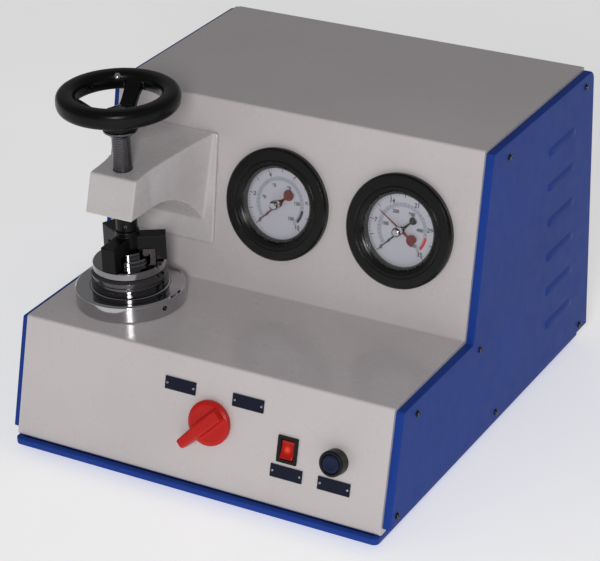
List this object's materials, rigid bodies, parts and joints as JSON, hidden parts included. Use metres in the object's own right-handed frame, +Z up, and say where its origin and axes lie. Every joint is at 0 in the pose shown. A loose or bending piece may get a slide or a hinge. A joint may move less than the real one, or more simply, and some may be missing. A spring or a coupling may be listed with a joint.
{
  "type": "bench bursting-strength tester",
  "caption": "Bench-top press with a handwheel-screwed round specimen clamp on a cast arm, a sloping blue-and-white console, pressure gauges with maximum hands, and a panel of switches.",
  "frame": {"origin": "middle of the footprint, on the bench top", "axes": "+Z up; -Y towards the operator, the side with the control panel; +X to the operator's right"},
  "size_m": [0.5008, 0.541, 0.418],
  "materials": {
    "white_enamel": "semi-gloss warm white powder coat",
    "white_casting": "gloss white enamel over cast iron",
    "blue_enamel": "semi-gloss blue powder coat",
    "bright_chrome": "polished chrome plate",
    "dark_chrome": "turned and chromed, darker, with fine grooves",
    "black_metal": "blackened steel, satin",
    "black_handwheel": "gloss black phenolic",
    "gauge_black": "gloss black enamel",
    "black_plastic": "moulded black plastic",
    "navy_plastic": "moulded navy plastic",
    "red_plastic": "moulded red plastic",
    "lit_red": "translucent red plastic, lit from behind",
    "label_plate": "anodised navy plate",
    "rubber_feet": "moulded rubber",
    "rubber_diaphragm": "natural rubber, dull",
    "machined_steel": "turned steel",
    "aluminium": "machined aluminium",
    "brass": "machined brass",
    "copper_pipe": "drawn tube",
    "grey_iron": "grey hammered enamel",
    "dial_white": "matt white dial with printed scale",
    "gauge_glass": "clear flat glass",
    "needle_black": "matt black",
    "needle_red": "matt dark red"
  },
  "bodies": {
    "housing": {"base_tray": "blue_enamel", "foot_front_left": "rubber_feet", "foot_front_right": "rubber_feet", "foot_rear_left": "rubber_feet", "foot_rear_right": "rubber_feet", "wrap_cover": "white_enamel", "rear_panel": "white_enamel", "left_side_cover": "blue_enamel", "right_side_cover": "blue_enamel", "press_frame": "white_casting", "spindle_nut": "brass", "clamp_flange": "bright_chrome", "lower_clamp_ring": "dark_chrome", "diaphragm": "rubber_diaphragm", "pressure_chamber": "machined_steel", "selector_switch": "black_plastic", "rocker_bezel": "black_plastic", "button_bezel": "black_plastic", "button_contact_block": "black_plastic", "label_plate_1": "label_plate", "label_plate_2": "label_plate", "label_plate_3": "label_plate", "label_plate_4": "label_plate", "gear_bracket": "aluminium", "gear_motor": "grey_iron", "pressure_cylinder": "machined_steel", "chamber_pipe": "copper_pipe", "left_gauge_pipe": "copper_pipe", "right_gauge_pipe": "copper_pipe", "mains_inlet": "black_plastic", "power_supply": "aluminium", "left_gauge_bezel": "gauge_black", "left_gauge_case": "grey_iron", "left_gauge_dial": "dial_white", "left_gauge_glass": "gauge_glass", "right_gauge_bezel": "gauge_black", "right_gauge_case": "grey_iron", "right_gauge_dial": "dial_white", "right_gauge_glass": "gauge_glass"},
    "clamp": {"tripod": "black_metal", "upper_clamp_ring": "bright_chrome", "swivel_sleeve": "black_metal"},
    "handwheel": {"handwheel": "black_handwheel", "handwheel_cap_nut": "dark_chrome", "handwheel_plug": "bright_chrome", "spindle": "dark_chrome", "spindle_collar": "dark_chrome"},
    "left_pointer": {"left_pointer": "needle_black"},
    "right_pointer": {"right_pointer": "needle_black"},
    "left_max_hand": {"left_max_hand": "needle_red", "left_reset_knob": "bright_chrome"},
    "right_max_hand": {"right_max_hand": "needle_red", "right_reset_knob": "bright_chrome"},
    "selector": {"selector_knob": "red_plastic"},
    "rocker": {"rocker": "lit_red"},
    "button": {"button_cap": "navy_plastic"},
    "drive_gear": {"drive_gear": "brass"},
    "motor_pinion": {"motor_pinion": "machined_steel"},
    "piston": {"piston": "aluminium", "piston_screw": "machined_steel"}
  },
  "joints": [
    {"name": "clamp_lift", "type": "slide", "parent": "housing", "child": "clamp", "axis": [0, 0, 1], "range_m": [0, 0.024]},
    {"name": "handwheel_turn", "type": "hinge", "parent": "clamp", "child": "handwheel", "pos_m": [-0.1533, -0.1339, 0.38], "axis": [0, 0, 1], "range_deg": [0, 2160]},
    {"name": "left_pointer_turn", "type": "hinge", "parent": "housing", "child": "left_pointer", "pos_m": [-0.012, -0.02827, 0.26176], "axis": [0, 0.975, -0.2222], "range_deg": [0, 270]},
    {"name": "right_pointer_turn", "type": "hinge", "parent": "housing", "child": "right_pointer", "pos_m": [0.1457, -0.02827, 0.26176], "axis": [0, 0.975, -0.2222], "range_deg": [0, 270]},
    {"name": "left_max_hand_turn", "type": "hinge", "parent": "housing", "child": "left_max_hand", "pos_m": [-0.012, -0.03051, 0.26227], "axis": [0, 0.975, -0.2222], "range_deg": [0, 270]},
    {"name": "right_max_hand_turn", "type": "hinge", "parent": "housing", "child": "right_max_hand", "pos_m": [0.1457, -0.03051, 0.26227], "axis": [0, 0.975, -0.2222], "range_deg": [-78, 192]},
    {"name": "selector_turn", "type": "hinge", "parent": "housing", "child": "selector", "pos_m": [0.0166, -0.24101, 0.09], "axis": [0, -0.9644, 0.2643], "range_deg": [0, 90]},
    {"name": "rocker_tilt", "type": "hinge", "parent": "housing", "child": "rocker", "pos_m": [0.1158, -0.242, 0.0826], "axis": [1, 0, 0], "range_deg": [0, 16]},
    {"name": "button_press", "type": "slide", "parent": "housing", "child": "button", "axis": [0, 0.9644, -0.2643], "range_m": [0, 0.004], "stiffness_N_per_m": 300, "springref_m": -0.003},
    {"name": "drive_gear_spin", "type": "hinge", "parent": "housing", "child": "drive_gear", "pos_m": [0.106, -0.1211, 0.095], "axis": [1, 0, 0], "range_deg": [0, 2520]},
    {"name": "piston_slide", "type": "slide", "parent": "housing", "child": "piston", "axis": [-1, 0, 0], "range_m": [0, 0.035]},
    {"name": "pinion_spin", "type": "hinge", "parent": "housing", "child": "motor_pinion", "pos_m": [0.106, -0.0671, 0.095], "axis": [1, 0, 0], "range_deg": [-8820, 0]}
  ],
  "couplings": [
    {"joint": "clamp_lift", "follows": "handwheel_turn", "m_per_rad": 0.0006366},
    {"joint": "piston_slide", "follows": "drive_gear_spin", "m_per_rad": 0.00079577},
    {"joint": "pinion_spin", "follows": "drive_gear_spin", "ratio": -3.5}
  ]
}
